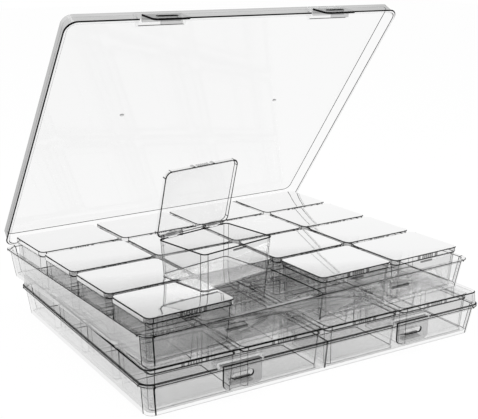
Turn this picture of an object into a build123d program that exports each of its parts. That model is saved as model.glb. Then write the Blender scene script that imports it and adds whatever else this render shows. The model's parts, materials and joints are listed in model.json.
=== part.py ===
from build123d import *
import os
from math import cos, radians, sin

# Two clear storage cases stand one on the other. The lower one is closed. The upper one
# has its lid raised and shows its small lidded boxes, one of them lifted out and open.
# The origin is the centre of the lower case's base. The fronts face -Y, and +Z is up.

os.makedirs("parts", exist_ok=True)

# Case tray, measured over its rim
case_width = 300.0
case_depth = 231.0
tray_height = 23.6
case_corner = 9.0
tray_wall = 1.8
tray_floor = 1.6
tray_lean = 3.0
rim_reach = 2.2
rim_thickness = 1.5
foot_bevel = 1.2
partition_thickness = 1.6

# Case lid
lid_depth = 11.6
lid_plate = 1.5
lid_wall = 1.6
lid_lean = 0.8
lid_flange_reach = 1.0
lid_flange_height = 1.3
lid_bevel = 1.6
lid_seat_gap = 0.3

# Hinges of the case lid
case_hinge_offset = 92.0
case_hinge_width = 34.0
case_barrel_radius = 2.2
case_axis_inset = 1.0
case_axis_rise = 2.6
tray_barrel_width = 22.0
hinge_gap = 0.4
lug_thickness = 3.0
lid_ear_width = 4.0
lid_ear_half = 1.6

# Snap latches at the front of the case lid
latch_offset = 76.0
pocket_width = 37.0
pocket_depth = 5.5
pocket_wall = 1.5
pocket_top_margin = 2.5
latch_width = 31.0
latch_length = 14.2
latch_thickness = 1.6
latch_corner = 4.0
latch_face_gap = 0.5
latch_barrel_radius = 1.3
latch_axis_inset = 2.2
latch_axis_rise = 1.6
latch_slot_width = 17.0
latch_slot_height = 4.2
latch_slot_drop = 5.6
catch_width = 17.0
catch_height = 1.8
catch_reach = 1.4
catch_drop = 8.8
hook_height = 1.6
hook_gap = 0.25
hook_overlap = 0.8

# Small boxes
columns = 4
rows = 4
side_margin = 6.0
end_margin = 5.5
box_headroom = 0.7
box_gap_x = 2.6
box_gap_y = 3.2
box_corner = 5.0
cup_wall = 1.2
cup_floor = 1.2
cup_lean = 1.5
box_lid_height = 4.2
box_lid_plate = 1.2
box_lid_overhang = 1.1
box_lid_gap = 0.25
corner_cut = 0.59
second_cut = 0.2

# Hinges and clasp of a small box
rod_radius = 1.0
rod_length = 16.0
rod_offset = 20.0
ear_thickness = 1.5
ear_reach = 1.0
rod_axis_inset = 0.6
rod_axis_drop = 2.8
clip_width = 8.0
clip_play = 0.06
clip_outer_radius = 1.8
clip_mouth_angle = 100.0
clip_mouth_start = 205.0
clasp_lug_offset = 9.3
clasp_lug_width = 2.0
clasp_reach = 0.6
grip_width = 12.5
grip_reach = 0.35
grip_height = 3.2
cup_catch_width = 12.0
cup_catch_height = 1.2
cup_catch_drop = 1.4

# How the two cases stand, and how far the lids are open
upper_shift_x = -6.0
upper_shift_y = 7.2
lower_turn = -3.0
lid_open_angle = 55.0
latch_open_angle = 28.0
popped_columns = -0.792
popped_rows = -1.055
popped_turn = 9.0
popped_lid_angle = 77.0
empty_cell = (1, 0)

# Worked out from the sizes above
lid_bottom = tray_height + lid_seat_gap
case_height = tray_height + lid_depth
front_y = -case_depth / 2
column_pitch = (case_width - 2 * side_margin) / columns
row_pitch = (case_depth - 2 * end_margin) / rows
box_width = column_pitch - box_gap_x
box_depth = row_pitch - box_gap_y
box_height = case_height - lid_plate - tray_floor - box_headroom
cup_height = box_height - box_lid_height
popped_x = popped_columns * column_pitch
popped_y = popped_rows * row_pitch
cup_top_width = box_width - 2 * box_lid_overhang
cup_top_depth = box_depth - 2 * box_lid_overhang
case_axis_y = case_depth / 2 - case_axis_inset
case_axis_z = tray_height + case_axis_rise
latch_axis_y = front_y + latch_axis_inset
latch_axis_z = lid_bottom + latch_axis_rise
rod_axis_y = box_depth / 2 - rod_axis_inset
rod_axis_z = box_height - rod_axis_drop
catch_top_z = tray_height - catch_drop


def slab(width, depth, corner, height):
    """Straight block with rounded corners, standing on z = 0."""
    return extrude(RectangleRounded(width, depth, corner), height)


def leaning_block(width, depth, height, lean):
    """Block on z = 0 with the given size at its top, and a foot smaller by lean on each side."""
    across = [(lean - width / 2, 0), (width / 2 - lean, 0), (width / 2, height), (-width / 2, height)]
    along = [(lean - depth / 2, 0), (depth / 2 - lean, 0), (depth / 2, height), (-depth / 2, height)]
    sides = extrude(Plane.XZ * make_face(Polyline(*across, close=True)), amount=depth, both=True)
    ends = extrude(Plane.YZ * make_face(Polyline(*along, close=True)), amount=width, both=True)
    return sides & ends


def corner_edges(solid):
    """The edges of a block that run from its foot to its top."""
    return solid.edges().filter_by(lambda edge: abs(edge.tangent_at(0.5).Z) > 0.5)


def rounded_block(width, depth, corner, height, lean):
    """Leaning block with its corner edges rounded."""
    solid = leaning_block(width, depth, height, lean)
    return fillet(corner_edges(solid), corner)


def rod(radius, length):
    """Round bar along X, centred on the origin."""
    return Rot(Y=90) * Cylinder(radius, length)


def block(x_range, y_range, z_range):
    """Box between the given limits."""
    size = [high - low for low, high in (x_range, y_range, z_range)]
    centre = [(high + low) / 2 for low, high in (x_range, y_range, z_range)]
    return Pos(*centre) * Box(*size)


def bar_along_x(points, width):
    """Prism along X, centred on x = 0, from (y, z) points."""
    outline = Plane.YZ * make_face(Polyline(*points, close=True))
    return extrude(outline, amount=width / 2, both=True)


def tray_front_y(z):
    """Y of the tray's outer front wall at height z."""
    return front_y + rim_reach + tray_lean * (tray_height - z) / tray_height


def make_tray():
    """Case tray with its rim, centre partition, front catches and hinge barrels."""
    top_width = case_width - 2 * rim_reach
    top_depth = case_depth - 2 * rim_reach
    corner = case_corner - rim_reach
    body = rounded_block(top_width, top_depth, corner, tray_height, tray_lean)
    body = chamfer(body.faces().sort_by(Axis.Z)[0].edges(), foot_bevel)
    rim = slab(case_width, case_depth, case_corner, rim_thickness)
    body += Pos(0, 0, tray_height - rim_thickness) * rim

    slope = tray_lean / tray_height
    room_height = tray_height - tray_floor
    room = rounded_block(top_width - 2 * tray_wall, top_depth - 2 * tray_wall, corner - tray_wall,
                         room_height, slope * room_height)
    half = partition_thickness / 2
    room -= block((-half, half), (-case_depth, case_depth), (0, tray_height))
    body -= Pos(0, 0, tray_floor) * room

    wall_y = tray_front_y(catch_top_z)
    catch = block((-catch_width / 2, catch_width / 2), (wall_y - catch_reach, wall_y + tray_wall / 2),
                  (catch_top_z - catch_height, catch_top_z))
    barrel = Pos(0, case_axis_y, case_axis_z) * rod(case_barrel_radius, tray_barrel_width)
    barrel += block((-tray_barrel_width / 2, tray_barrel_width / 2),
                    (case_axis_y - lug_thickness / 2, case_axis_y + lug_thickness / 2),
                    (tray_height - rim_thickness, case_axis_z))
    for side in (-1, 1):
        body += Pos(side * latch_offset, 0, 0) * catch
        body += Pos(side * case_hinge_offset, 0, 0) * barrel
    return body


def make_case_lid():
    """Case lid, closed: plate, leaning rim with its flange, latch pockets and hinge ears."""
    height = tray_height + lid_depth - lid_bottom
    skirt_width = case_width - 2 * lid_flange_reach
    skirt_depth = case_depth - 2 * lid_flange_reach
    corner = case_corner - lid_flange_reach
    lid = rounded_block(skirt_width - 2 * lid_lean, skirt_depth - 2 * lid_lean, corner, height, -lid_lean)
    lid = chamfer(lid.faces().sort_by(Axis.Z)[-1].edges(), lid_bevel)
    lid += slab(case_width, case_depth, case_corner, lid_flange_height)
    narrowing = 2 * (lid_wall + lid_lean)
    lid -= rounded_block(skirt_width - narrowing, skirt_depth - narrowing, corner - lid_wall,
                         height - lid_plate, -lid_lean)

    pocket_top = height - pocket_top_margin
    outside = front_y - lid_flange_reach
    backing = bar_along_x([(front_y + lid_wall, 0), (front_y + pocket_depth + pocket_wall, 0),
                           (front_y + lid_flange_reach + pocket_wall, pocket_top),
                           (front_y + lid_wall, pocket_top)], pocket_width + 2 * pocket_wall)
    pocket = bar_along_x([(outside, -1), (front_y + pocket_depth, -1), (front_y + pocket_depth, 0),
                          (front_y, pocket_top), (outside, pocket_top)], pocket_width)

    notch_top = case_axis_z + case_barrel_radius + hinge_gap - lid_bottom
    half_notch = case_hinge_width / 2
    notch = block((-half_notch, half_notch), (case_axis_y - case_barrel_radius - hinge_gap, case_depth),
                  (-1, notch_top))
    axis_z = case_axis_z - lid_bottom
    ear_inner = tray_barrel_width / 2 + hinge_gap
    ear = block((ear_inner, ear_inner + lid_ear_width),
                (case_axis_y - lid_ear_half, case_axis_y + case_axis_inset - lid_flange_reach),
                (axis_z - lid_ear_half, notch_top + lid_wall / 2))
    for side in (-1, 1):
        lid += Pos(side * latch_offset, 0, 0) * backing
        lid -= Pos(side * latch_offset, 0, 0) * pocket
        lid -= Pos(side * case_hinge_offset, 0, 0) * notch
        for end in (-1, 1):
            lid += Pos(side * case_hinge_offset, 0, 0) * (ear if end > 0 else mirror(ear, Plane.YZ))
    return Pos(0, 0, lid_bottom) * lid


def make_latch():
    """Latch, closed, about x = 0: barrel, slotted tab and inner hook."""
    inner_y = front_y - latch_face_gap
    outer_y = inner_y - latch_thickness
    top_z = latch_axis_z + latch_barrel_radius
    bottom_z = tray_height - latch_length
    outline = Pos(0, (top_z + bottom_z) / 2) * Rectangle(latch_width, top_z - bottom_z)
    outline = fillet(outline.vertices().group_by(Axis.Y)[0], latch_corner)
    outline -= Pos(0, tray_height - latch_slot_drop) * SlotOverall(latch_slot_width, latch_slot_height)
    latch = extrude(Plane.XZ.offset(-inner_y) * outline, latch_thickness)
    latch += block((-latch_width / 2, latch_width / 2), (outer_y + latch_thickness / 2, latch_axis_y),
                   (latch_axis_z, top_z))
    latch += Pos(0, latch_axis_y, latch_axis_z) * rod(latch_barrel_radius, latch_width)
    hook_top = catch_top_z - catch_height - hook_gap
    hook_tip = tray_front_y(catch_top_z) - catch_reach + hook_overlap
    latch += block((-catch_width / 2, catch_width / 2), (inner_y - latch_thickness / 2, hook_tip),
                   (hook_top - hook_height, hook_top))
    return latch


def bevel_corners(solid, corner, steps):
    """Cut the upright corners of a block in one flat, or in three that follow a round corner."""
    solid = chamfer(corner_edges(solid), corner * corner_cut)
    if steps == 3:
        solid = chamfer(corner_edges(solid), corner * second_cut)
    return solid


def cup_blank(rounded):
    """Plain cup of a small box, larger at the top, with its corners rounded or cut flat."""
    corner = box_corner - box_lid_overhang
    slope = cup_lean / cup_height
    room_height = cup_height - cup_floor
    cup = leaning_block(cup_top_width, cup_top_depth, cup_height, cup_lean)
    room = leaning_block(cup_top_width - 2 * cup_wall, cup_top_depth - 2 * cup_wall, room_height,
                         slope * room_height)
    if rounded:
        cup = fillet(corner_edges(cup), corner)
        room = fillet(corner_edges(room), corner - cup_wall)
    else:
        cup = bevel_corners(cup, corner, 1)
        room = bevel_corners(room, corner - cup_wall, 1)
    return cup - Pos(0, 0, cup_floor) * room


def box_lid_blank(corner_steps):
    """Plain lid of a small box, closed on its cup, with corners in flats, or round for no steps."""
    height = box_lid_height - box_lid_gap
    room_height = height - box_lid_plate
    lid = Pos(0, 0, height / 2) * Box(box_width, box_depth, height)
    if corner_steps:
        lid = bevel_corners(lid, box_corner, corner_steps)
    else:
        lid = fillet(corner_edges(lid), box_corner)
    room = Pos(0, 0, room_height / 2) * Box(box_width - 2 * box_lid_overhang,
                                            box_depth - 2 * box_lid_overhang, room_height)
    room = bevel_corners(room, box_corner - box_lid_overhang, 1)
    return Pos(0, 0, cup_height + box_lid_gap) * (lid - room)


def add_cup_catch(cup):
    """Cup with the ridge under its lid's clasp."""
    catch_top = cup_height - cup_catch_drop
    return cup + block((-cup_catch_width / 2, cup_catch_width / 2),
                       (-cup_top_depth / 2 - clasp_reach, (cup_wall - cup_top_depth) / 2),
                       (catch_top - cup_catch_height, catch_top))


def add_clasp(lid):
    """Box lid with the two lugs and the raised grip at its front."""
    lug_top = box_height - box_lid_gap
    grip_middle = (cup_height + box_lid_gap + lug_top) / 2
    into_rim = (box_lid_overhang - box_depth) / 2
    for side in (-1, 1):
        lid += Pos(side * clasp_lug_offset, 0, 0) * block(
            (-clasp_lug_width / 2, clasp_lug_width / 2), (-box_depth / 2 - clasp_reach, into_rim),
            (cup_height + box_lid_gap, lug_top))
    return lid + block((-grip_width / 2, grip_width / 2), (-box_depth / 2 - grip_reach, into_rim),
                       (grip_middle - grip_height / 2, grip_middle + grip_height / 2))


def notch_lid(lid, half_width):
    """Box lid with its rear rim cut away over both hinges."""
    notch = block((-half_width, half_width), (box_depth / 2 - 2 * box_lid_overhang, box_depth),
                  (0, box_height - box_lid_plate))
    for side in (-1, 1):
        lid -= Pos(side * rod_offset, 0, 0) * notch
    return lid


def make_closed_cup():
    """Cup of a shut box: each hinge is an ear beside the lid's knuckle."""
    cup = add_cup_catch(cup_blank(rounded=False))
    inner = clip_width / 2 + hinge_gap
    ear = block((inner, inner + ear_thickness), (cup_top_depth / 2 - cup_wall, rod_axis_y + ear_reach),
                (cup_height - cup_wall, rod_axis_z + ear_reach))
    for side in (-1, 1):
        cup += Pos(side * rod_offset, 0, 0) * ear
    return cup


def make_closed_box_lid():
    """Lid of a shut box, with a knuckle at each hinge whose rear edge is round about the axis."""
    lid = notch_lid(add_clasp(box_lid_blank(3)), clip_width / 2 + ear_thickness + 2 * hinge_gap)
    knuckle = block((-clip_width / 2, clip_width / 2), (rod_axis_y - rod_radius, rod_axis_y + rod_radius),
                    (rod_axis_z - rod_radius, box_height - box_lid_plate / 2))
    rear_edge = knuckle.edges().filter_by(Axis.X).sort_by(lambda edge: edge.center().Z - edge.center().Y)[0]
    knuckle = fillet(rear_edge, rod_radius)
    for side in (-1, 1):
        lid += Pos(side * rod_offset, 0, 0) * knuckle
    return lid


def make_open_cup():
    """Cup of the open box, with its two hinge rods between ears and the windows of the clips."""
    cup = add_cup_catch(cup_blank(rounded=True))
    back_y = cup_top_depth / 2
    window_half = clip_width / 2 + hinge_gap
    window = block((-window_half, window_half), (back_y - 2 * cup_wall, back_y + cup_wall),
                   (rod_axis_z - clip_outer_radius - hinge_gap, box_height))
    ear = block((0, ear_thickness), (back_y - cup_wall, rod_axis_y + ear_reach),
                (cup_height - cup_wall, rod_axis_z + ear_reach))
    hinge = Pos(0, rod_axis_y, rod_axis_z) * rod(rod_radius, rod_length + ear_thickness)
    hinge += Pos(-rod_length / 2 - ear_thickness, 0, 0) * ear
    hinge += Pos(rod_length / 2, 0, 0) * ear
    for side in (-1, 1):
        cup -= Pos(side * rod_offset, 0, 0) * window
        cup += Pos(side * rod_offset, 0, 0) * hinge
    return cup


def make_open_box_lid():
    """Lid of the open box, in its closed place, with two clips that snap onto the rods."""
    lid = notch_lid(add_clasp(box_lid_blank(0)), rod_length / 2 + ear_thickness + hinge_gap)
    angles = [radians(clip_mouth_start + clip_mouth_angle * part) for part in (0, 0.5, 1)]
    reach = 3 * clip_outer_radius
    clip = rod(clip_outer_radius, clip_width)
    clip -= rod(rod_radius + clip_play, 2 * clip_width)
    clip -= bar_along_x([(0, 0)] + [(reach * cos(a), reach * sin(a)) for a in angles], 2 * clip_width)
    for side in (-1, 1):
        lid += Pos(side * rod_offset, rod_axis_y, rod_axis_z) * clip
    return lid


def cell_place(column, row):
    """Place of a small box's foot in a tray, from the front left cell."""
    x = (column - (columns - 1) / 2) * column_pitch
    y = (row - (rows - 1) / 2) * row_pitch
    return Pos(x, y, tray_floor)


def turned_about(y, z, angle):
    """Turn that lifts a front edge by angle degrees about the X line at y, z."""
    return Pos(0, y, z) * Rot(X=-angle) * Pos(0, -y, -z)


upper_place = Pos(upper_shift_x, upper_shift_y, case_height)
lower_place = Rot(Z=lower_turn)
raised = turned_about(case_axis_y, case_axis_z, lid_open_angle)
latch_raised = turned_about(latch_axis_y, latch_axis_z, latch_open_angle)
popped_place = upper_place * Pos(popped_x, popped_y, tray_floor + box_height) * Rot(Z=popped_turn)
popped_raised = turned_about(rod_axis_y, rod_axis_z, popped_lid_angle)

tray = make_tray()
case_lid = make_case_lid()
latch = make_latch()
cup = make_closed_cup()
box_lid = make_closed_box_lid()
plain_cup = cup_blank(rounded=False)
plain_lid = box_lid_blank(1)

nodes = {
    "lower_tray": lower_place * tray,
    "lower_lid": lower_place * case_lid,
    "upper_tray": upper_place * tray,
    "upper_lid": upper_place * raised * case_lid,
    "popped_cup": popped_place * make_open_cup(),
    "popped_box_lid": popped_place * popped_raised * make_open_box_lid(),
}
for side_name, side in (("left", -1), ("right", 1)):
    at_side = Pos(side * latch_offset, 0, 0)
    nodes[f"lower_latch_{side_name}"] = lower_place * at_side * latch
    nodes[f"upper_latch_{side_name}"] = upper_place * raised * latch_raised * at_side * latch

for row in range(rows):
    places = [lower_place * cell_place(column, row) for column in range(columns)]
    nodes[f"lower_cups_row_{row + 1}"] = Compound(children=[place * plain_cup for place in places])
    nodes[f"lower_box_lids_row_{row + 1}"] = Compound(children=[place * plain_lid for place in places])
    for column in range(columns):
        if (column, row) != empty_cell:
            place = upper_place * cell_place(column, row)
            nodes[f"cup_{column + 1}_{row + 1}"] = place * cup
            nodes[f"box_lid_{column + 1}_{row + 1}"] = place * box_lid

for name, shape in nodes.items():
    export_step(shape, f"parts/{name}.step")
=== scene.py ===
import json
from math import cos, hypot, pi, radians, sin

import bmesh
import bpy
from mathutils import Matrix, Vector

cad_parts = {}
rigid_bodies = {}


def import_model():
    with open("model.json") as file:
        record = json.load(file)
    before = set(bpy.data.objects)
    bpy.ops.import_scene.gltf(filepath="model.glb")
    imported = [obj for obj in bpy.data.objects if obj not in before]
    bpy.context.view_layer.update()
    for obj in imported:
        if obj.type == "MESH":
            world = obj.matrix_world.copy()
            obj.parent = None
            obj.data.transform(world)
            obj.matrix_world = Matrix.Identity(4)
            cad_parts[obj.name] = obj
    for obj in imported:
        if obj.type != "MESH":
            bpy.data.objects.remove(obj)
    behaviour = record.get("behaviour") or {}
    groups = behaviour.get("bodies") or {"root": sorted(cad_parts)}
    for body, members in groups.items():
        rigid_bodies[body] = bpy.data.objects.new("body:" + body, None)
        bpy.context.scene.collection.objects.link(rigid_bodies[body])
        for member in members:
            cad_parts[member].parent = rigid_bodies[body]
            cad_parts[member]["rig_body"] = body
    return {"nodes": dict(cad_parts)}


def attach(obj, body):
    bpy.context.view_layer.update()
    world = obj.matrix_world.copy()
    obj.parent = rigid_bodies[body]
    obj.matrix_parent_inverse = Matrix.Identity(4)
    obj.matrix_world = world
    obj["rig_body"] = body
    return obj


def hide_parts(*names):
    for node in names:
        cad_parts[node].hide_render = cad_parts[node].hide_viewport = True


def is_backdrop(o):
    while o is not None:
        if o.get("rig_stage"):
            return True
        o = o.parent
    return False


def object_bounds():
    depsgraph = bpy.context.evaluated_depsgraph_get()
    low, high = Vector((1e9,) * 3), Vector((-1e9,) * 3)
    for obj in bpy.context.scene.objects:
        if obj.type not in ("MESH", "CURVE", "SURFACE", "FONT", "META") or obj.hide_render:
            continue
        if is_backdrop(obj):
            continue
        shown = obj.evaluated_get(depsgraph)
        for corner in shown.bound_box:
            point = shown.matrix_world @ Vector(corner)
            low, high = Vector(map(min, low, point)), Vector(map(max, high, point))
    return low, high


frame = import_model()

bl_info = {
    "name": "Bead storage box",
    "version": (1, 0, 0),
    "blender": (4, 5, 0),
    "location": "View3D > Sidebar > Bead box",
    "description": "Builds two stacked clear bead cases with their small lidded boxes and a white stage",
    "category": "Object",
}

# All sizes are in millimetres until a mesh is made
MM = 0.001

CASE_WIDTH, CASE_DEPTH = 300.0, 231.0
TRAY_HEIGHT = 23.6
CASE_CORNER = 9.0
TRAY_WALL, TRAY_FLOOR, TRAY_LEAN = 1.8, 1.6, 3.0
RIM_REACH, RIM_THICKNESS = 2.2, 1.5
LID_BOTTOM, LID_TOP = 23.9, 35.2
LID_PLATE, LID_WALL, LID_LEAN = 1.5, 1.6, 0.8
FLANGE_REACH, FLANGE_HEIGHT = 1.0, 1.3
LATCH_X, POCKET_WIDTH, POCKET_DEPTH, POCKET_TOP = 76.0, 37.0, 5.5, 32.7
CASE_AXIS_Y, CASE_AXIS_Z = 114.5, 26.2
CASE_HINGE_X, CASE_HINGE_WIDTH, CASE_BARREL = 92.0, 34.0, 2.2
LATCH_AXIS_Y, LATCH_AXIS_Z, LATCH_BARREL = -113.3, 25.5, 1.3
LATCH_WIDTH, LATCH_THICKNESS, LATCH_LOW = 31.0, 1.6, 9.4
SLOT_WIDTH, SLOT_HEIGHT, SLOT_Z = 17.0, 4.2, 18.0
CATCH_TOP, CATCH_WIDTH, CATCH_REACH = 14.8, 17.0, 1.4

BOX_WIDTH, BOX_DEPTH, BOX_CORNER = 69.4, 51.8, 5.0
CUP_HEIGHT, CUP_WALL, CUP_LEAN = 27.2, 1.2, 1.5
BOX_TOP, BOX_PLATE, OVERHANG, SEAT = 31.4, 1.2, 1.1, 0.25
ROD_Y, ROD_Z, ROD_X, ROD_LENGTH = 25.3, 28.6, 20.0, 16.0
COLUMN_PITCH, ROW_PITCH = 72.0, 55.0

# Half the width of a hinge barrel, and where its two ears start and end beside it
BARREL_HALF, EAR_START, EAR_END = 11.0, 11.4, 15.4
# Gate marks on a case lid's plate, where the plastic was fed into the mould
GATE_X, GATE_Y, GATE_LONG, GATE_SHORT = 74.0, -12.5, 1.8, 1.1
LATCH_EDGE_ROUND = 0.6

# Bends sharper than this many degrees stay crisp
CRISP_ANGLE = 38
SKIN_ROUGHNESS = 0.05

# Photo camera: width of its picture and its focal length in pixels, and where it stands
PHOTO_WIDTH, PHOTO_FOCAL = 478, 958.6
PHOTO_AZIMUTH, PHOTO_ELEVATION, PHOTO_ROLL = -35.058, 15.235, 0.628
PHOTO_TARGET, PHOTO_DISTANCE = (128.315, 177.59, 0), 993.636

UPPER = Matrix.Translation((-6.0, 7.2, 35.2))
LOWER = Matrix.Rotation(radians(-3.0), 4, "Z")
LID_ANGLE, LATCH_ANGLE, POPPED_ANGLE = 55.0, 28.0, 77.0
POPPED = UPPER @ Matrix.Translation((-57.0, -58.0, 33.0)) @ Matrix.Rotation(radians(9.0), 4, "Z")
EMPTY_CELL = (1, 0)

# Material numbers: thin walls, narrow bends painted as dark lines of shade, and small thick parts painted a darker
# shade
WALL, SHADE_LINE, THICK = 0, 1, 2


def turned_about(y, z, angle):
    """Turn that lifts a front edge by angle degrees about the X line at y, z."""
    there = Matrix.Translation((0, y, z))
    return there @ Matrix.Rotation(radians(-angle), 4, "X") @ there.inverted()


def cell(column, row):
    """Place of a small box's foot in its tray."""
    return Matrix.Translation(((column - 1.5) * COLUMN_PITCH, (row - 1.5) * ROW_PITCH, TRAY_FLOOR))


# Mesh parts: each is (points, faces), and a face is (corner numbers, material number)


# Angles round a corner in degrees: the first and last strips are narrow and are painted as dark lines of shade
BEND = (0, 9, 20, 32, 45, 58, 70, 81, 90)


def ring(width, depth, corner, z, angles=BEND):
    """Points round a rounded rectangle, counter-clockwise from the right side."""
    points = []
    for quarter in range(4):
        x = (width / 2 - corner) * (1 if quarter in (0, 3) else -1)
        y = (depth / 2 - corner) * (1 if quarter < 2 else -1)
        for step in angles:
            angle = radians(90 * quarter + step)
            points.append((x + corner * cos(angle), y + corner * sin(angle), z))
    return points


def shell(width, depth, corner, profile, corner_lines=True):
    """Closed moulding: profile rows are (inset, z, corner loss, material of the band after it).

    With corner_lines, a strip of painted shade marks where each rounded corner meets the flat walls.
    """
    points, faces = [], []
    for inset, z, loss, _ in profile:
        points += ring(width - 2 * inset, depth - 2 * inset, max(corner - loss, 0.3), z)
    count, steps = 4 * len(BEND), len(BEND)
    for row in range(len(profile) - 1):
        for i in range(count):
            a, b = row * count + i, row * count + (i + 1) % count
            on_line = corner_lines and i % steps in (0, steps - 2)
            faces.append(((a, b, b + count, a + count), SHADE_LINE if on_line else profile[row][3]))
    last = (len(profile) - 1) * count
    faces.append((tuple(range(count))[::-1], WALL))
    faces.append((tuple(range(last, last + count)), WALL))
    return points, faces


def bend(inset, z, out, up, loss, size=0.4):
    """Two profile rows that cut a right-angled bend at inset, z by a strip of painted shade.

    out and up are the directions of the way in and the way out, as (inset, z) steps.
    """
    return [(inset - size * out[0], z - size * out[1], loss, SHADE_LINE),
            (inset + size * up[0], z + size * up[1], loss, WALL)]


def bar(outline, x_low, x_high, material=THICK, ends=THICK, line=0.0):
    """Prism along X from (y, z) outline points; sides narrower than line are bends painted dark as shade."""
    count = len(outline)
    points = [(x, y, z) for x in (x_low, x_high) for y, z in outline]
    faces = []
    for i in range(count):
        (y, z), (next_y, next_z) = outline[i], outline[(i + 1) % count]
        narrow = hypot(next_y - y, next_z - z) < line
        faces.append(((i, (i + 1) % count, (i + 1) % count + count, i + count), SHADE_LINE if narrow else material))
    faces += [(tuple(range(count))[::-1], ends), (tuple(range(count, 2 * count)), ends)]
    return points, faces


def rounded_outline(y_low, y_high, z_low, z_high, radius):
    """Outline of a bar with rounded long edges, as (y, z) points."""
    middle_y, middle_z = (y_low + y_high) / 2, (z_low + z_high) / 2
    return [(middle_y + x, middle_z + y) for x, y, _ in
            ring(y_high - y_low, z_high - z_low, radius, 0, (0, 30, 60, 90))]


def nicked(outline, size):
    """The same outline with each corner cut by size along both of its sides."""
    cut = []
    for i, (y, z) in enumerate(outline):
        for other_y, other_z in (outline[i - 1], outline[(i + 1) % len(outline)]):
            share = size / hypot(other_y - y, other_z - z)
            cut.append((y + share * (other_y - y), z + share * (other_z - z)))
    return cut


def round_outline(y, z, radius, steps=24):
    """Circle as (y, z) points."""
    return [(y + radius * cos(2 * pi * i / steps), z + radius * sin(2 * pi * i / steps)) for i in range(steps)]


def moved(part, place):
    """The same part at another place."""
    points, faces = part
    return [tuple(place @ Vector(p)) for p in points], faces


def at_x(part, x):
    """The same part moved along X."""
    return moved(part, Matrix.Translation((x, 0, 0)))


def mesh_of(name, parts):
    """Mesh in metres from several closed parts, with smooth bends and crisp edges."""
    made = bmesh.new()
    for points, faces in parts:
        corners = [made.verts.new(Vector(p) * MM) for p in points]
        for numbers, material in faces:
            face = made.faces.new([corners[n] for n in numbers])
            face.material_index = material
            face.smooth = True
    bmesh.ops.recalc_face_normals(made, faces=made.faces)
    mesh = with_slots(bpy.data.meshes.new(name))
    made.to_mesh(mesh)
    made.free()
    mesh.set_sharp_from_angle(angle=radians(CRISP_ANGLE))
    return mesh


def carved(mesh, cutters):
    """Mesh with the cutter parts taken out of it."""
    body = bpy.data.objects.new("carving", mesh)
    tool = bpy.data.objects.new("cutter", mesh_of("cutter", cutters))
    for made in (body, tool):
        bpy.context.scene.collection.objects.link(made)
    cut = body.modifiers.new("cut", "BOOLEAN")
    cut.object, cut.operation, cut.solver = tool, "DIFFERENCE", "EXACT"
    graph = bpy.context.evaluated_depsgraph_get()
    result = bpy.data.meshes.new_from_object(body.evaluated_get(graph), depsgraph=graph)
    result.name = mesh.name
    for made in (body, tool):
        bpy.data.objects.remove(made)
    if len(result.polygons) < 6:
        raise RuntimeError(f"the cut left nothing of {mesh.name}")
    return result


def with_materials(mesh, look):
    """Puts the plastics of one look on the mesh's material numbers."""
    plastic = plastics()
    for number, kind in ((WALL, "wall"), (SHADE_LINE, "edge"), (THICK, "thick")):
        mesh.materials[number] = plastic[f"{look}_{kind}"]
    return mesh


def with_slots(mesh):
    """Gives a new mesh its three material places, which cutting and joining then keep."""
    while len(mesh.materials) < 3:
        mesh.materials.append(None)
    return mesh


def piece(name, mesh, place, body, nodes):
    """Object that stands for CAD nodes and moves with their body."""
    made = bpy.data.objects.new(name, mesh)
    bpy.context.scene.collection.objects.link(made)
    made.matrix_world = Matrix.Scale(MM, 4) @ place @ Matrix.Scale(1 / MM, 4)
    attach(made, body)
    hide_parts(*nodes)
    return made


def body_of_node(node):
    """Name of the CAD body that a node belongs to."""
    return frame["nodes"][node]["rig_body"]


# Materials


def linear(hex_colour):
    """sRGB hex colour as linear RGBA."""
    parts = [int(hex_colour[i:i + 2], 16) / 255 for i in (1, 3, 5)]
    return tuple(c / 12.92 if c <= 0.04045 else ((c + 0.055) / 1.055) ** 2.4 for c in parts) + (1.0,)


def add_node(tree, kind, links=(), **values):
    """Adds a shader node, sets its properties and sockets, and links (socket, source socket) pairs."""
    node = tree.nodes.new(kind)
    for key, value in values.items():
        if key in node.bl_rna.properties:
            setattr(node, key, value)
        else:
            node.inputs[key.replace("_", " ")].default_value = value
    for socket, source in links:
        tree.links.new(source, node.inputs[socket])
    return node


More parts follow.
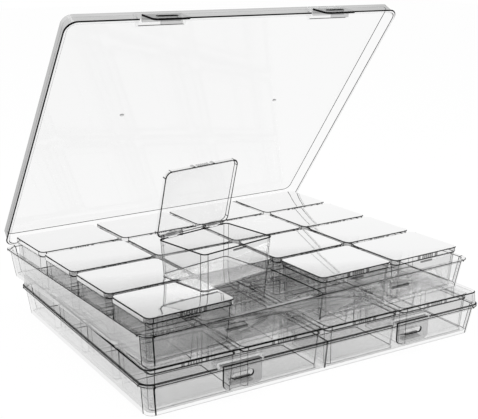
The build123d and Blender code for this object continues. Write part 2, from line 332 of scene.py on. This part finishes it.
def clear_plastic(name, face_on, grazing, mirror, roughness, wave):
    """Clear moulded plastic that tints the light passing it, darkens it with painted shade and mirrors a little on
    its outer skin.

    face_on and grazing are the colours that white light has after passing one wall straight and at
    a flat angle: a faint tint of the plastic and painted shade, which stands for the light that the
    plastic bends away and grows toward a flat angle. mirror is the share mirrored at grazing, and wave
    the size in millimetres of the faint sink marks that bend its reflections.
    """
    material = bpy.data.materials.new(name)
    material.use_nodes = True
    tree = material.node_tree
    tree.nodes.clear()
    facing = add_node(tree, "ShaderNodeLayerWeight", Blend=0.5).outputs["Facing"]
    # Painted shade: the light passing is darkened from face_on to grazing as the wall turns away
    tint_and_shade = add_node(tree, "ShaderNodeValToRGB", [("Fac", power_of(tree, facing, 3.0))])
    tint_and_shade.color_ramp.elements[0].color = linear(face_on)
    tint_and_shade.color_ramp.elements[1].color = linear(grazing)
    tinted_and_shaded = add_node(tree, "ShaderNodeBsdfTransparent", [("Color", tint_and_shade.outputs["Color"])])
    # Object coordinates are metres, so the pattern repeats once per wave
    place = add_node(tree, "ShaderNodeTexCoord")
    noise = add_node(tree, "ShaderNodeTexNoise", [("Vector", place.outputs["Object"])],
                     Scale=1 / (wave * MM), Detail=1.0)
    bump = add_node(tree, "ShaderNodeBump", [("Height", noise.outputs["Fac"])],
                    Strength=0.02, Distance=0.0005)
    skin = add_node(tree, "ShaderNodeBsdfPrincipled", [("Normal", bump.outputs["Normal"])],
                    Base_Color=linear("#f4f4f4"), Metallic=1.0, Roughness=roughness)
    share = add_node(tree, "ShaderNodeMapRange", [("Value", power_of(tree, facing, 2.5))])
    share.inputs["To Min"].default_value = 0.005
    share.inputs["To Max"].default_value = mirror
    outside = add_node(tree, "ShaderNodeMixShader", [(0, share.outputs["Result"]), (1, tinted_and_shaded.outputs["BSDF"]),
                                                     (2, skin.outputs["BSDF"])])
    # A wall has two skins: the one turned to the viewer takes the painted shade and mirrors, the other lets all pass
    skins = add_node(tree, "ShaderNodeNewGeometry")
    clear = add_node(tree, "ShaderNodeBsdfTransparent")
    both = add_node(tree, "ShaderNodeMixShader", [(0, skins.outputs["Backfacing"]), (1, outside.outputs["Shader"]),
                                                  (2, clear.outputs["BSDF"])])
    add_node(tree, "ShaderNodeOutputMaterial", [("Surface", both.outputs["Shader"])])
    return material


def power_of(tree, source, exponent):
    """Output of a node that raises source to an exponent."""
    node = add_node(tree, "ShaderNodeMath", [(0, source)], operation="POWER")
    node.inputs[1].default_value = exponent
    return node.outputs["Value"]


def plastics():
    """The clear plastics, made once: for each look its walls, its bends painted dark as shade and its thick parts."""
    looks = {
        # The crystal polystyrene looks are one plastic with painted light and shade for where their pieces stand
        # Upper tray, crystal polystyrene: wall colours, bend colour, thick parts' colour, mirror, wave
        "case": ("Crystal polystyrene, case", "#fafafa", "#d0d0d0", "#101010", "#bcbcbc", 0.9, 60.0),
        # The two open lids, painted lighter and with darker bends for the light all round them
        "raised": ("Crystal polystyrene, open lid", "#fcfcfc", "#d2d2d2", "#0a0a0a", "#d8d8d8", 0.4, 60.0),
        # Lower case, painted lighter as it is seen against the light floor
        "low": ("Crystal polystyrene, lower case", "#fbfbfb", "#d8d8d8", "#101010", "#e6e6e6", 0.9, 60.0),
        # Cups that stand in the upper case, thinner crystal polystyrene, with walls painted darker as the shade of
        # the tray and boxes around them
        "cup": ("Crystal polystyrene, seated cup", "#f3f3f3", "#d8d8d8", "#484848", "#c0c0c0", 0.5, 30.0),
        # Lids of the small boxes, polished on top, with walls painted lighter than the cups
        "lid": ("Crystal polystyrene, box lid", "#fcfcfc", "#e2e2e2", "#303030", "#a4a4a4", 2.6, 30.0),
        # The cup that was lifted out, with painted light and shade for the light all round it
        "free": ("Crystal polystyrene, free cup", "#f6f6f6", "#cfcfcf", "#0a0a0a", "#9c9c9c", 1.2, 30.0),
        # The boxes inside the lower case, painted lighter than the seated cups
        "stored": ("Crystal polystyrene, stored box", "#fcfcfc", "#e6e6e6", "#505050", "#b4b4b4", 0.6, 30.0),
        # Snap latches, tougher and a little cloudier plastic
        "latch": ("Clear polypropylene, latch", "#dedede", "#b0b0b0", "#0c0c0c", "#d4d4d4", 0.4, 20.0),
    }
    made = {}
    for look, (name, straight, flat, shade_line_colour, thick_colour, mirror, wave) in looks.items():
        # Bends take a painted shade that turns nearly black at a flat angle, and thick parts a darker painted shade
        for kind, face_on, grazing, share in (("wall", straight, flat, mirror),
                                              ("edge", shade_line_colour, "#080808", 0.1),
                                              ("thick", thick_colour, "#5c5c5c", 0.3)):
            title = f"{name} {kind}"
            made[f"{look}_{kind}"] = (bpy.data.materials.get(title)
                                      or clear_plastic(title, face_on, grazing, share, SKIN_ROUGHNESS, wave))
    return made


# Meshes of the pieces


def tray_mesh():
    """Case tray: drafted walls, rounded foot, rim, partition, catches and hinge barrels."""
    lean = TRAY_LEAN / TRAY_HEIGHT
    inner = RIM_REACH + TRAY_WALL
    low = RIM_REACH + TRAY_LEAN
    inner_low = inner + lean * (TRAY_HEIGHT - TRAY_FLOOR)
    rim_low = TRAY_HEIGHT - RIM_THICKNESS
    start = RIM_REACH + lean * RIM_THICKNESS
    profile = [(low + 1.2, 0, RIM_REACH + 1.2, WALL), (low + 0.5, 0.15, RIM_REACH + 0.6, SHADE_LINE),
               (low + 0.1, 0.55, RIM_REACH + 0.2, WALL), (low - 0.1, 1.2, RIM_REACH, WALL)]
    profile += bend(start, rim_low, (0, 1), (-1, 0), RIM_REACH, 0.35)
    profile += bend(0, rim_low, (-1, 0), (0, 1), 0, 0.35)
    profile += bend(0, TRAY_HEIGHT, (0, 1), (1, 0), 0, 0.4)
    profile += bend(inner, TRAY_HEIGHT, (1, 0), (0, -1), inner, 0.4)
    profile += [(inner_low - 0.15, TRAY_FLOOR + 1.5, inner, WALL),
                (inner_low + 0.25, TRAY_FLOOR + 0.6, inner + 0.4, SHADE_LINE),
                (inner_low + 0.65, TRAY_FLOOR + 0.2, inner + 0.8, WALL),
                (inner_low + 1.5, TRAY_FLOOR, inner + 1.5, WALL)]
    parts = [shell(CASE_WIDTH, CASE_DEPTH, CASE_CORNER, profile)]
    reach = CASE_DEPTH / 2 - inner_low
    partition = [(-reach, TRAY_FLOOR), (reach, TRAY_FLOOR), (reach + 2.6, TRAY_HEIGHT - 0.3),
                 (-reach - 2.6, TRAY_HEIGHT - 0.3)]
    parts.append(bar(partition, -0.8, 0.8, material=SHADE_LINE, ends=WALL))
    wall_y = -CASE_DEPTH / 2 + RIM_REACH + lean * (TRAY_HEIGHT - CATCH_TOP)
    catch = bar(rounded_outline(wall_y - CATCH_REACH, wall_y + 0.5, CATCH_TOP - 1.8, CATCH_TOP, 0.4),
                -CATCH_WIDTH / 2, CATCH_WIDTH / 2, line=0.3)
    stud = bar(round_outline(wall_y - 0.2, CATCH_TOP + 4.0, 0.5, 12), 7.5, 8.5)
    barrel = bar(round_outline(CASE_AXIS_Y, CASE_AXIS_Z, CASE_BARREL), -BARREL_HALF, BARREL_HALF)
    neck = bar([(CASE_AXIS_Y - 1.5, TRAY_HEIGHT - 1.4), (CASE_AXIS_Y + 1.0, TRAY_HEIGHT - 1.4),
                (CASE_AXIS_Y + 1.4, CASE_AXIS_Z), (CASE_AXIS_Y - 1.5, CASE_AXIS_Z)],
               -BARREL_HALF, BARREL_HALF)
    for side in (-1, 1):
        parts += [at_x(catch, side * LATCH_X), at_x(stud, side * LATCH_X)]
        parts += [at_x(barrel, side * CASE_HINGE_X), at_x(neck, side * CASE_HINGE_X)]
    return mesh_of("tray", parts)


def case_lid_mesh(flange):
    """Closed case lid: plate, skirt with its flange, latch pockets and hinge cut-outs.

    flange is the material number of the flange's edge.
    """
    outer, inner = FLANGE_REACH, FLANGE_REACH + LID_WALL
    top = outer + LID_LEAN
    under = LID_TOP - LID_PLATE
    profile = [(top + 1.6, LID_TOP, top + 1.6, WALL), (top + 1.0, LID_TOP - 0.12, top + 1.0, SHADE_LINE),
               (top + 0.2, LID_TOP - 0.85, top + 0.2, THICK), (top, LID_TOP - 1.6, outer, THICK)]
    profile += [(outer + 0.1, LID_BOTTOM + FLANGE_HEIGHT + 0.4, outer, SHADE_LINE),
                (outer - 0.3, LID_BOTTOM + FLANGE_HEIGHT, outer, THICK),
                (0.5, LID_BOTTOM + FLANGE_HEIGHT, 0, SHADE_LINE), (0, LID_BOTTOM + FLANGE_HEIGHT - 0.45, 0, flange),
                (0, LID_BOTTOM + 0.5, 0, SHADE_LINE), (0.7, LID_BOTTOM, 0, WALL)]
    profile += bend(inner, LID_BOTTOM, (1, 0), (0, 1), inner, 0.4)
    profile += [(inner + LID_LEAN, under - 1.0, inner, WALL),
                (inner + LID_LEAN + 0.15, under - 0.5, inner + 0.2, SHADE_LINE),
                (inner + LID_LEAN + 0.5, under - 0.15, inner + 0.6, WALL),
                (inner + LID_LEAN + 1.0, under, inner + 1.0, WALL)]
    front = -CASE_DEPTH / 2
    shell_part = shell(CASE_WIDTH, CASE_DEPTH, CASE_CORNER, profile, corner_lines=False)
    pocket = bar([(front - 2, LID_BOTTOM - 1), (front + POCKET_DEPTH, LID_BOTTOM - 1),
                  (front + POCKET_DEPTH, LID_BOTTOM), (front, POCKET_TOP), (front - 2, POCKET_TOP)],
                 -POCKET_WIDTH / 2, POCKET_WIDTH / 2)
    notch_top = CASE_AXIS_Z + CASE_BARREL + 0.4
    notch = bar([(CASE_AXIS_Y - CASE_BARREL - 0.4, LID_BOTTOM - 1), (CASE_DEPTH, LID_BOTTOM - 1),
                 (CASE_DEPTH, notch_top), (CASE_AXIS_Y - CASE_BARREL - 0.4, notch_top)],
                -CASE_HINGE_WIDTH / 2, CASE_HINGE_WIDTH / 2)
    cutters = [at_x(pocket, side * LATCH_X) for side in (-1, 1)]
    cutters += [at_x(notch, side * CASE_HINGE_X) for side in (-1, 1)]
    cut = carved(mesh_of("case_lid", [shell_part]), cutters)

    # The sloping back and the two cheeks of each pocket, and the ears of each hinge
    back = [(front + POCKET_DEPTH, LID_BOTTOM), (front + POCKET_DEPTH + 1.5, LID_BOTTOM),
            (front + 1.8, POCKET_TOP), (front + 0.6, POCKET_TOP)]
    back = bar(nicked(back, 0.3), -POCKET_WIDTH / 2, POCKET_WIDTH / 2, material=WALL, ends=WALL, line=0.6)
    cheek = [(front + 0.4, LID_BOTTOM), (front + POCKET_DEPTH + 1.5, LID_BOTTOM), (front + 2.4, POCKET_TOP),
             (front + 1.2, POCKET_TOP)]
    cheek = bar(nicked(cheek, 0.3), 0, 1.5, material=WALL, ends=WALL, line=0.6)
    ear = bar(rounded_outline(CASE_AXIS_Y - 1.6, CASE_AXIS_Y + 0.9, CASE_AXIS_Z - 1.6, notch_top + 1.0, 0.6),
              EAR_START, EAR_END, line=0.4)
    details = []
    for side in (-1, 1):
        details += [at_x(back, side * LATCH_X), at_x(cheek, side * LATCH_X + POCKET_WIDTH / 2),
                    at_x(cheek, side * LATCH_X - POCKET_WIDTH / 2 - 1.5)]
        details += [at_x(ear, side * CASE_HINGE_X), at_x(ear, side * CASE_HINGE_X - EAR_START - EAR_END)]
    # Two gate marks on the plate
    for x in (-GATE_X, GATE_X):
        mark = [(x + GATE_LONG * cos(i * pi / 8), GATE_SHORT * sin(i * pi / 8) + GATE_Y, LID_TOP + 0.06)
                for i in range(16)]
        low = [(px, py, LID_TOP - 0.5) for px, py, _ in mark]
        sides = [((i, (i + 1) % 16, (i + 1) % 16 + 16, i + 16), SHADE_LINE) for i in range(16)]
        details.append((low + mark, sides + [(tuple(range(16))[::-1], THICK), (tuple(range(16, 32)), THICK)]))
    return joined("case_lid", cut, mesh_of("details", details))


def joined(name, *meshes):
    """One mesh out of several with the same material numbers."""
    made = bmesh.new()
    for mesh in meshes:
        made.from_mesh(mesh)
    result = with_slots(bpy.data.meshes.new(name))
    made.to_mesh(result)
    made.free()
    result.set_sharp_from_angle(angle=radians(CRISP_ANGLE))
    return result


def latch_mesh():
    """Latch about x = 0: slotted tab with rounded lower corners, its barrel and its hook."""
    front = -CASE_DEPTH / 2 - 0.5
    top = LATCH_AXIS_Z + LATCH_BARREL
    curve = bpy.data.curves.new("tab", "CURVE")
    curve.dimensions, curve.fill_mode = "2D", "BOTH"
    curve.extrude = (LATCH_THICKNESS / 2 - LATCH_EDGE_ROUND) * MM
    curve.bevel_depth, curve.offset = LATCH_EDGE_ROUND * MM, -LATCH_EDGE_ROUND * MM
    half, low, corner = LATCH_WIDTH / 2, LATCH_LOW, 4.0
    outline = [(half, top), (-half, top)]
    for centre, start in ((-half + corner, 180), (half - corner, 270)):
        for i in range(7):
            angle = radians(start + 15 * i)
            outline.append((centre + corner * cos(angle), low + corner + corner * sin(angle)))
    straight, radius = (SLOT_WIDTH - SLOT_HEIGHT) / 2, SLOT_HEIGHT / 2
    slot = [(side * straight + radius * cos(radians(start + 15 * i)), SLOT_Z + radius * sin(radians(start + 15 * i)))
            for side, start in ((1, -90), (-1, 90)) for i in range(13)]
    for line in (outline, slot):
        spline = curve.splines.new("POLY")
        spline.points.add(len(line) - 1)
        for point, (x, z) in zip(spline.points, line):
            point.co = (x * MM, z * MM, 0, 1)
        spline.use_cyclic_u = True
    holder = bpy.data.objects.new("tab", curve)
    bpy.context.scene.collection.objects.link(holder)
    graph = bpy.context.evaluated_depsgraph_get()
    tab = with_slots(bpy.data.meshes.new_from_object(holder.evaluated_get(graph), depsgraph=graph))
    bpy.data.objects.remove(holder)
    middle = (front - LATCH_THICKNESS / 2) * MM
    tab.transform(Matrix.Translation((0, middle, 0)) @ Matrix.Rotation(pi / 2, 4, "X"))
    for face in tab.polygons:
        face.material_index = SHADE_LINE if abs(face.normal.y) < 0.95 else WALL
    web = bar([(front - 0.8, LATCH_AXIS_Z + 0.1), (LATCH_AXIS_Y, LATCH_AXIS_Z + 0.1), (LATCH_AXIS_Y, top - 0.05),
               (front - 0.8, top - 0.05)], -half, half)
    barrel = bar(round_outline(LATCH_AXIS_Y, LATCH_AXIS_Z, LATCH_BARREL, 20), -half, half)
    hook_top = CATCH_TOP - 1.8 - 0.25
    wall_y = -CASE_DEPTH / 2 + RIM_REACH + TRAY_LEAN * (TRAY_HEIGHT - CATCH_TOP) / TRAY_HEIGHT
    hook = bar(rounded_outline(front - 0.8, wall_y - CATCH_REACH + 0.8, hook_top - 1.6, hook_top, 0.4),
               -CATCH_WIDTH / 2, CATCH_WIDTH / 2)
    return joined("latch", tab, mesh_of("latch_details", [web, barrel, hook]))


def cup_profile():
    """Profile rows of a small cup, from its foot over its rim to its floor inside."""
    foot, inside = OVERHANG + CUP_LEAN, OVERHANG + CUP_WALL
    floor_inside = inside + CUP_LEAN * (CUP_HEIGHT - 1.2) / CUP_HEIGHT
    return [(foot + 0.8, 0, foot + 0.2, WALL), (foot + 0.4, 0.12, foot - 0.2, SHADE_LINE),
            (foot + 0.02, 0.7, OVERHANG, WALL),
            (OVERHANG, CUP_HEIGHT - 0.55, OVERHANG, SHADE_LINE), (OVERHANG, CUP_HEIGHT, OVERHANG, SHADE_LINE),
            (inside, CUP_HEIGHT, inside, SHADE_LINE), (inside, CUP_HEIGHT - 0.55, inside, WALL),
            (floor_inside - 0.05, 2.4, inside, WALL), (floor_inside + 0.1, 1.9, inside + 0.2, SHADE_LINE),
            (floor_inside + 0.5, 1.35, inside + 0.6, WALL), (floor_inside + 1.2, 1.2, inside + 1.2, WALL)]


def box_lid_profile():
    """Profile rows of a small box's lid, from its top over its rim to the underside."""
    low, under = CUP_HEIGHT + SEAT, BOX_TOP - BOX_PLATE
    return [(1.2, BOX_TOP, 1.2, WALL), (0.75, BOX_TOP - 0.07, 0.75, SHADE_LINE), (0.05, BOX_TOP - 0.65, 0.05, WALL),
            *bend(0, low, (0, -1), (1, 0), 0, 0.5), *bend(OVERHANG, low, (1, 0), (0, 1), OVERHANG, 0.4),
            *bend(OVERHANG, under, (0, 1), (1, 0), OVERHANG, 0.3)]


def cup_mesh():
    """Cup of a small box with its hinge rods between ears, clip windows and front catch."""
    body = mesh_of("cup", [shell(BOX_WIDTH, BOX_DEPTH, BOX_CORNER, cup_profile())])
    back = BOX_DEPTH / 2 - OVERHANG
    window = bar([(back - 2.4, 26.4), (back + 2, 26.4), (back + 2, BOX_TOP), (back - 2.4, BOX_TOP)], -4.4, 4.4)
    body = carved(body, [at_x(window, side * ROD_X) for side in (-1, 1)])
    rod = bar(round_outline(ROD_Y, ROD_Z, 1.0, 16), -ROD_LENGTH / 2, ROD_LENGTH / 2)
    ear = bar(rounded_outline(back - 1.1, ROD_Y + 1.0, CUP_HEIGHT - 1.2, ROD_Z + 1.0, 0.9), 0, 1.5, line=0.5)
    catch = bar(rounded_outline(-back - 0.6, 0.6 - back, CUP_HEIGHT - 2.6, CUP_HEIGHT - 1.4, 0.3), -6, 6, line=0.25)
    details = [catch]
    for side in (-1, 1):
        details += [at_x(rod, side * ROD_X), at_x(ear, side * ROD_X + ROD_LENGTH / 2),
                    at_x(ear, side * ROD_X - ROD_LENGTH / 2 - 1.5)]
    return joined("cup", body, mesh_of("cup_details", details))


def clasp_parts(ribs):
    """Clasp lugs and ribbed grip on the front of a small box's lid."""
    front, low, top = -BOX_DEPTH / 2, CUP_HEIGHT + SEAT, BOX_TOP - SEAT
    lug = bar(rounded_outline(front - 0.6, front + 0.5, low, top, 0.3), -1, 1, line=0.25)
    parts = [at_x(lug, -9.3), at_x(lug, 9.3)]
    for i in range(ribs):
        x = (i - (ribs - 1) / 2) * 12.0 / ribs
        outline = rounded_outline(front - 0.35, front + 0.4, low + 0.3, top - 0.3, 0.25)
        parts.append(bar(outline, x - 0.45, x + 0.45, line=0.2))
    return parts


def box_lid_mesh(ribs):
    """Closed lid of a small box with its hinge clips, clasp lugs and ribbed grip."""
    body = mesh_of("box_lid", [shell(BOX_WIDTH, BOX_DEPTH, BOX_CORNER, box_lid_profile())])
    notch = bar([(BOX_DEPTH / 2 - 2.2, 20), (BOX_DEPTH, 20), (BOX_DEPTH, BOX_TOP - BOX_PLATE),
                 (BOX_DEPTH / 2 - 2.2, BOX_TOP - BOX_PLATE)], -9.9, 9.9)
    body = carved(body, [at_x(notch, side * ROD_X) for side in (-1, 1)])
    clip_outline = [(ROD_Y + r * cos(radians(a)), ROD_Z + r * sin(radians(a)))
                    for r, angles in ((1.06, range(-55, 206, 13)), (1.75, range(205, -56, -13))) for a in angles]
    clip = bar(clip_outline, -4, 4)
    details = clasp_parts(ribs)
    for side in (-1, 1):
        details.append(at_x(clip, side * ROD_X))
    return joined("box_lid", body, mesh_of("lid_details", details))


# Groups of pieces


def build_trays():
    """Both case trays."""
    for name, place, look in (("lower_tray", LOWER, "low"), ("upper_tray", UPPER, "case")):
        mesh = with_materials(tray_mesh(), look)
        piece(name + "_moulding", mesh, place, body_of_node(name), [name])


def build_case_lids():
    """The closed lower lid and the raised upper lid."""
    raised = UPPER @ turned_about(CASE_AXIS_Y, CASE_AXIS_Z, LID_ANGLE)
    # The open lid's flange stands against the light, and its full width is painted dark as shade
    for name, place, look, flange in (("lower_lid", LOWER, "low", THICK), ("upper_lid", raised, "raised", SHADE_LINE)):
        mesh = with_materials(case_lid_mesh(flange), look)
        piece(name + "_moulding", mesh, place, body_of_node(name), [name])


def build_latches():
    """The four snap latches."""
    mesh = with_materials(latch_mesh(), "latch")
    raised = UPPER @ turned_about(CASE_AXIS_Y, CASE_AXIS_Z, LID_ANGLE)
    raised = raised @ turned_about(LATCH_AXIS_Y, LATCH_AXIS_Z, LATCH_ANGLE)
    for case, place in (("lower", LOWER), ("upper", raised)):
        for side_name, side in (("left", -1), ("right", 1)):
            name = f"{case}_latch_{side_name}"
            there = place @ Matrix.Translation((side * LATCH_X, 0, 0))
            piece(name + "_moulding", mesh, there, body_of_node(name), [name])


def build_upper_boxes():
    """Fifteen shut boxes in the upper case and the open one that stands on them."""
    ribs = bpy.context.scene.bead_box.grip_ribs
    cup = with_materials(cup_mesh(), "cup")
    lid = with_materials(box_lid_mesh(ribs), "lid")
    for row in range(4):
        for column in range(4):
            if (column, row) == EMPTY_CELL:
                continue
            place = UPPER @ cell(column, row)
            for kind, mesh in (("cup", cup), ("box_lid", lid)):
                node = f"{kind}_{column + 1}_{row + 1}"
                piece(node + "_moulding", mesh, place, body_of_node(node), [node])
    open_lid = POPPED @ turned_about(ROD_Y, ROD_Z, POPPED_ANGLE)
    for node, mesh, look, place in (("popped_cup", cup, "free", POPPED), ("popped_box_lid", lid, "raised", open_lid)):
        mesh = with_materials(mesh.copy(), look)
        piece(node + "_moulding", mesh, place, body_of_node(node), [node])


def build_lower_boxes():
    """Sixteen shut boxes inside the lower case, one piece for each row of cups and of lids."""
    clasp = clasp_parts(bpy.context.scene.bead_box.grip_ribs)
    for row in range(4):
        for kind, profile, extra in (("lower_cups", cup_profile(), []), ("lower_box_lids", box_lid_profile(), clasp)):
            one = [shell(BOX_WIDTH, BOX_DEPTH, BOX_CORNER, profile), *extra]
            mesh = mesh_of(kind, [moved(part, cell(column, row)) for column in range(4) for part in one])
            with_materials(mesh, "stored")
            node = f"{kind}_row_{row + 1}"
            piece(node + "_moulding", mesh, LOWER, body_of_node(node), [node])


def seen_directly(tree):
    """Output that is 1 where the viewer sees a surface straight, mirrored or through clear plastic."""
    path = add_node(tree, "ShaderNodeLightPath")
    seen = add_node(tree, "ShaderNodeMath", [(0, path.outputs["Is Camera Ray"]), (1, path.outputs["Is Glossy Ray"])],
                    operation="ADD")
    seen = add_node(tree, "ShaderNodeMath", [(0, seen.outputs["Value"]), (1, path.outputs["Is Transmission Ray"])],
                    operation="ADD", use_clamp=True)
    return seen.outputs["Value"]


def build_stage():
    """Camera, plain white floor, soft lamps and a white world."""
    settings = bpy.context.scene.bead_box
    scene = bpy.context.scene
    scene.view_settings.view_transform = "Standard"
    # Clear walls stand many deep, and each one passed counts as a transparent bounce
    scene.cycles.transparent_max_bounces = 96
    scene.cycles.min_transparent_bounces = 96

    floor_mesh = bpy.data.meshes.new("floor")
    reach = 4.0
    floor_mesh.from_pydata([(-reach, -reach, 0), (reach, -reach, 0), (reach, reach, 0), (-reach, reach, 0)], [],
                           [(0, 1, 2, 3)])
    floor = bpy.data.objects.new("floor", floor_mesh)
    scene.collection.objects.link(floor)
    floor.location.z = -0.0002
    paper = bpy.data.materials.new("White backdrop paper")
    paper.use_nodes = True
    tree = paper.node_tree
    tree.nodes.clear()
    glow = add_node(tree, "ShaderNodeEmission", Color=linear("#ffffff"), Strength=1.0)
    matte = add_node(tree, "ShaderNodeBsdfDiffuse", Color=linear("#f4f4f4"))
    share = add_node(tree, "ShaderNodeMath", [(0, seen_directly(tree))], operation="MULTIPLY")
    share.inputs[1].default_value = settings.floor_glow
    mixed = add_node(tree, "ShaderNodeMixShader", [(0, share.outputs["Value"]), (1, matte.outputs["BSDF"]),
                                                   (2, glow.outputs["Emission"])])
    add_node(tree, "ShaderNodeOutputMaterial", [("Surface", mixed.outputs["Shader"])])
    floor_mesh.materials.append(paper)
    floor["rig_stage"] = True

    world = bpy.data.worlds.new("White studio")
    scene.world = world
    world.use_nodes = True
    tree = world.node_tree
    tree.nodes.clear()
    strength = add_node(tree, "ShaderNodeMapRange", [("Value", seen_directly(tree))])
    strength.inputs["To Min"].default_value = settings.ambient
    strength.inputs["To Max"].default_value = 1.0
    sky = add_node(tree, "ShaderNodeBackground", [("Strength", strength.outputs["Result"])], Color=linear("#ffffff"))
    add_node(tree, "ShaderNodeOutputWorld", [("Surface", sky.outputs["Background"])])

    for name, power, size, spot in (("Softbox above", 9.0, 0.9, (-0.25, -0.15, 1.15)),
                                    ("Softbox right", 5.0, 0.7, (1.0, -0.5, 0.7))):
        light = bpy.data.lights.new(name, "AREA")
        light.energy, light.size = power * settings.lamp_power, size
        lamp = bpy.data.objects.new(name, light)
        scene.collection.objects.link(lamp)
        lamp.location = spot
        lamp.rotation_euler = (Vector((0, 0, 0.05)) - lamp.location).to_track_quat("-Z", "Y").to_euler()
        lamp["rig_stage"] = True

    camera = bpy.data.cameras.new("Photo camera")
    camera.sensor_width, camera.lens = 36.0, 36.0 * PHOTO_FOCAL / PHOTO_WIDTH
    holder = bpy.data.objects.new("Photo camera", camera)
    scene.collection.objects.link(holder)
    azimuth, elevation, roll = radians(PHOTO_AZIMUTH), radians(PHOTO_ELEVATION), radians(PHOTO_ROLL)
    back = Vector((sin(azimuth) * cos(elevation), -cos(azimuth) * cos(elevation), sin(elevation)))
    right = (-back).cross(Vector((0, 0, 1))).normalized()
    up = right.cross(-back)
    across = cos(roll) * right + sin(roll) * up
    upward = cos(roll) * up - sin(roll) * right
    spot = UPPER @ Vector(PHOTO_TARGET) + back * PHOTO_DISTANCE
    turn = Matrix((across, upward, back)).transposed().to_4x4()
    holder.matrix_world = Matrix.Translation(spot * MM) @ turn
    scene.camera = holder


# Add-on


class BeadBoxSettings(bpy.types.PropertyGroup):
    """Settings of the bead box scene."""

    grip_ribs: bpy.props.IntProperty(
        name="Grip ribs", default=6, min=1, max=12,
        description="Upright ribs on the front grip of each small box's lid")
    ambient: bpy.props.FloatProperty(
        name="Ambient light", default=0.75, min=0.0, max=2.0,
        description="Strength of the white surroundings as they light matte surfaces")
    lamp_power: bpy.props.FloatProperty(
        name="Lamp power", default=1.0, min=0.0, max=10.0,
        description="Power of the softboxes, as a share of the usual")
    floor_glow: bpy.props.FloatProperty(
        name="Floor glow", default=0.97, min=0.0, max=1.0,
        description="Share of the floor that shows as pure white, so that only a faint shadow stays")


class BEADBOX_OT_trays(bpy.types.Operator):
    """Build the two case trays"""
    bl_idname = "beadbox.trays"
    bl_label = "Trays"

    def execute(self, context):
        build_trays()
        return {"FINISHED"}


class BEADBOX_OT_case_lids(bpy.types.Operator):
    """Build the two case lids"""
    bl_idname = "beadbox.case_lids"
    bl_label = "Case lids"

    def execute(self, context):
        build_case_lids()
        return {"FINISHED"}


class BEADBOX_OT_latches(bpy.types.Operator):
    """Build the four snap latches"""
    bl_idname = "beadbox.latches"
    bl_label = "Latches"

    def execute(self, context):
        build_latches()
        return {"FINISHED"}


class BEADBOX_OT_upper_boxes(bpy.types.Operator):
    """Build the small boxes of the upper case"""
    bl_idname = "beadbox.upper_boxes"
    bl_label = "Upper boxes"

    def execute(self, context):
        build_upper_boxes()
        return {"FINISHED"}


class BEADBOX_OT_lower_boxes(bpy.types.Operator):
    """Build the small boxes of the lower case"""
    bl_idname = "beadbox.lower_boxes"
    bl_label = "Lower boxes"

    def execute(self, context):
        build_lower_boxes()
        return {"FINISHED"}


class BEADBOX_OT_stage(bpy.types.Operator):
    """Set the camera, floor, lamps and world"""
    bl_idname = "beadbox.stage"
    bl_label = "Stage"

    def execute(self, context):
        build_stage()
        return {"FINISHED"}


class BEADBOX_PT_panel(bpy.types.Panel):
    """Sidebar panel with the settings and the build buttons."""
    bl_label = "Bead storage box"
    bl_idname = "BEADBOX_PT_panel"
    bl_space_type = "VIEW_3D"
    bl_region_type = "UI"
    bl_category = "Bead box"

    def draw(self, context):
        settings = context.scene.bead_box
        for name in BeadBoxSettings.__annotations__:
            self.layout.prop(settings, name)
        for operator in OPERATORS:
            self.layout.operator(operator.bl_idname)


OPERATORS = (BEADBOX_OT_trays, BEADBOX_OT_case_lids, BEADBOX_OT_latches, BEADBOX_OT_upper_boxes,
             BEADBOX_OT_lower_boxes, BEADBOX_OT_stage)


def register():
    """Registers the add-on's classes and its settings."""
    for item in (BeadBoxSettings, *OPERATORS, BEADBOX_PT_panel):
        bpy.utils.register_class(item)
    bpy.types.Scene.bead_box = bpy.props.PointerProperty(type=BeadBoxSettings)


def unregister():
    """Takes the add-on out again."""
    del bpy.types.Scene.bead_box
    for item in (BEADBOX_PT_panel, *reversed(OPERATORS), BeadBoxSettings):
        bpy.utils.unregister_class(item)


def corners():
    """Lowest and highest corner of what is shown, in metres."""
    low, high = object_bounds()
    return {"low": list(low), "high": list(high)}


def main():
    """Builds everything."""
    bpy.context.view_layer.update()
    register()
    bpy.ops.beadbox.trays()
    bpy.ops.beadbox.case_lids()
    bpy.ops.beadbox.latches()
    bpy.ops.beadbox.upper_boxes()
    bpy.ops.beadbox.lower_boxes()
    bpy.ops.beadbox.stage()


if __name__ == "__main__":
    main()
